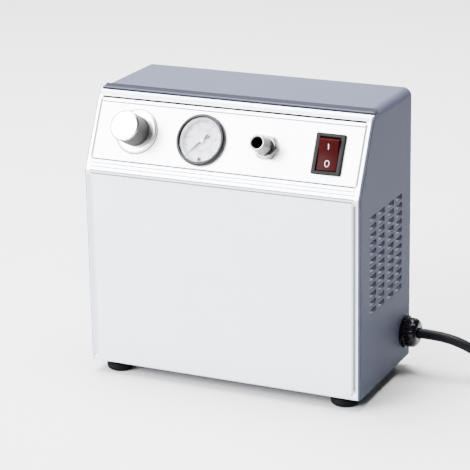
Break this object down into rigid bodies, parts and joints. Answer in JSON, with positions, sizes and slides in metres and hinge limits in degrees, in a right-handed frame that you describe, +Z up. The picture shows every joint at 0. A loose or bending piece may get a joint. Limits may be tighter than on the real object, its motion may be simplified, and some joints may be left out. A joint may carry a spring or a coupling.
{
  "type": "airbrush compressor",
  "caption": "Small oil-less airbrush compressor in a louvred steel case with a sloping control panel: regulator knob, pressure gauge, air outlet, rocker switch and a coiled mains lead.",
  "frame": {"origin": "middle of the footprint on the table, without the mains lead", "axes": "+X to the right seen from the front, +Y to the back, +Z up"},
  "size_m": [0.4462, 0.1504, 0.2386],
  "materials": {
    "case_paint": "satin",
    "cover_silver": "satin",
    "panel_film": "satin",
    "chrome": "polished",
    "zinc_steel": "satin",
    "black_plastic": "satin",
    "gauge_black": "satin",
    "gauge_lens": "glossy",
    "dial_face": "satin",
    "needle_black": "satin",
    "brass": "satin",
    "rocker_red": "satin",
    "rubber_black": "matte",
    "cord_pvc": "satin",
    "cast_aluminium": "satin",
    "lamination": "satin",
    "copper_wire": "satin",
    "fan_plastic": "satin",
    "ptfe_cup": "matte",
    "filter_felt": "matte",
    "clear_hose": "satin"
  },
  "bodies": {
    "housing": {"case_shell": "case_paint", "rear_panel": "case_paint", "rear_panel_screws": "zinc_steel", "base_plate": "case_paint", "front_cover": "cover_silver", "control_panel": "panel_film", "foot_front_left": "rubber_black", "foot_front_right": "rubber_black", "foot_rear_left": "rubber_black", "foot_rear_right": "rubber_black", "foot_screws": "zinc_steel", "knob_lock_ring": "chrome", "regulator_bonnet": "zinc_steel", "regulator_spring": "zinc_steel", "regulator_diaphragm": "rubber_black", "regulator_body": "cast_aluminium", "gauge_case": "gauge_black", "gauge_bezel": "gauge_black", "gauge_lens": "gauge_lens", "gauge_dial": "dial_face", "gauge_movement": "brass", "outlet_fitting": "chrome", "outlet_nut": "chrome", "switch_housing": "black_plastic", "switch_terminals": "brass", "gland_body": "black_plastic", "gland_nut": "black_plastic", "gland_locknut": "black_plastic", "power_cord": "cord_pvc", "power_cord_coil": "cord_pvc", "power_plug": "cord_pvc", "plug_pins": "brass", "motor_stator": "lamination", "motor_windings": "copper_wire", "motor_bearings": "zinc_steel", "fan_end_bell": "cast_aluminium", "motor_bolts": "zinc_steel", "crankcase": "cast_aluminium", "cylinder_liner": "cast_aluminium", "valve_plate": "cast_aluminium", "reed_valves": "zinc_steel", "cylinder_head": "cast_aluminium", "head_screws": "zinc_steel", "intake_filter": "filter_felt", "pressure_hose": "clear_hose", "panel_air_lines": "clear_hose", "pump_mounts": "rubber_black", "internal_wiring": "cord_pvc"},
    "knob": {"regulator_knob": "chrome", "regulator_spindle": "zinc_steel"},
    "spring_seat": {"regulator_seat": "brass"},
    "needle": {"gauge_needle": "needle_black"},
    "rocker": {"switch_rocker": "rocker_red"},
    "crank": {"motor_rotor": "lamination", "motor_shaft": "zinc_steel", "cooling_fan": "fan_plastic", "crank_disc": "zinc_steel"},
    "rod": {"connecting_rod": "cast_aluminium", "rod_bearing": "zinc_steel", "piston_cup": "ptfe_cup"}
  },
  "joints": [
    {"name": "knob_turn", "type": "hinge", "parent": "housing", "child": "knob", "pos_m": [-0.079, -0.03677, 0.20721], "axis": [0, 0.8973, -0.4415], "range_deg": [0, 1080]},
    {"name": "seat_slide", "type": "slide", "parent": "housing", "child": "spring_seat", "axis": [0, 0.8973, -0.4415], "range_m": [0, 0.0031], "deforming": ["regulator_spring"]},
    {"name": "needle_turn", "type": "hinge", "parent": "housing", "child": "needle", "pos_m": [-0.0206, -0.03739, 0.20596], "axis": [0, 0.8973, -0.4415], "range_deg": [0, 270]},
    {"name": "rocker_tip", "type": "hinge", "parent": "housing", "child": "rocker", "pos_m": [0.0888, -0.03483, 0.20436], "axis": [-1, 0, 0], "range_deg": [0, 21]},
    {"name": "crank_spin", "type": "hinge", "parent": "housing", "child": "crank", "pos_m": [0, 0.0096, 0.078], "axis": [1, 0, 0], "continuous": true},
    {"name": "rod_turn", "type": "hinge", "parent": "crank", "child": "rod", "pos_m": [-0.069, 0.0096, 0.081], "axis": [1, 0, 0], "continuous": true, "deforming": ["piston_cup"]}
  ],
  "couplings": [
    {"joint": "seat_slide", "follows": "knob_turn", "m_per_rad": 0.00015915},
    {"joint": "rod_turn", "follows": "crank_spin", "ratio": -1}
  ]
}
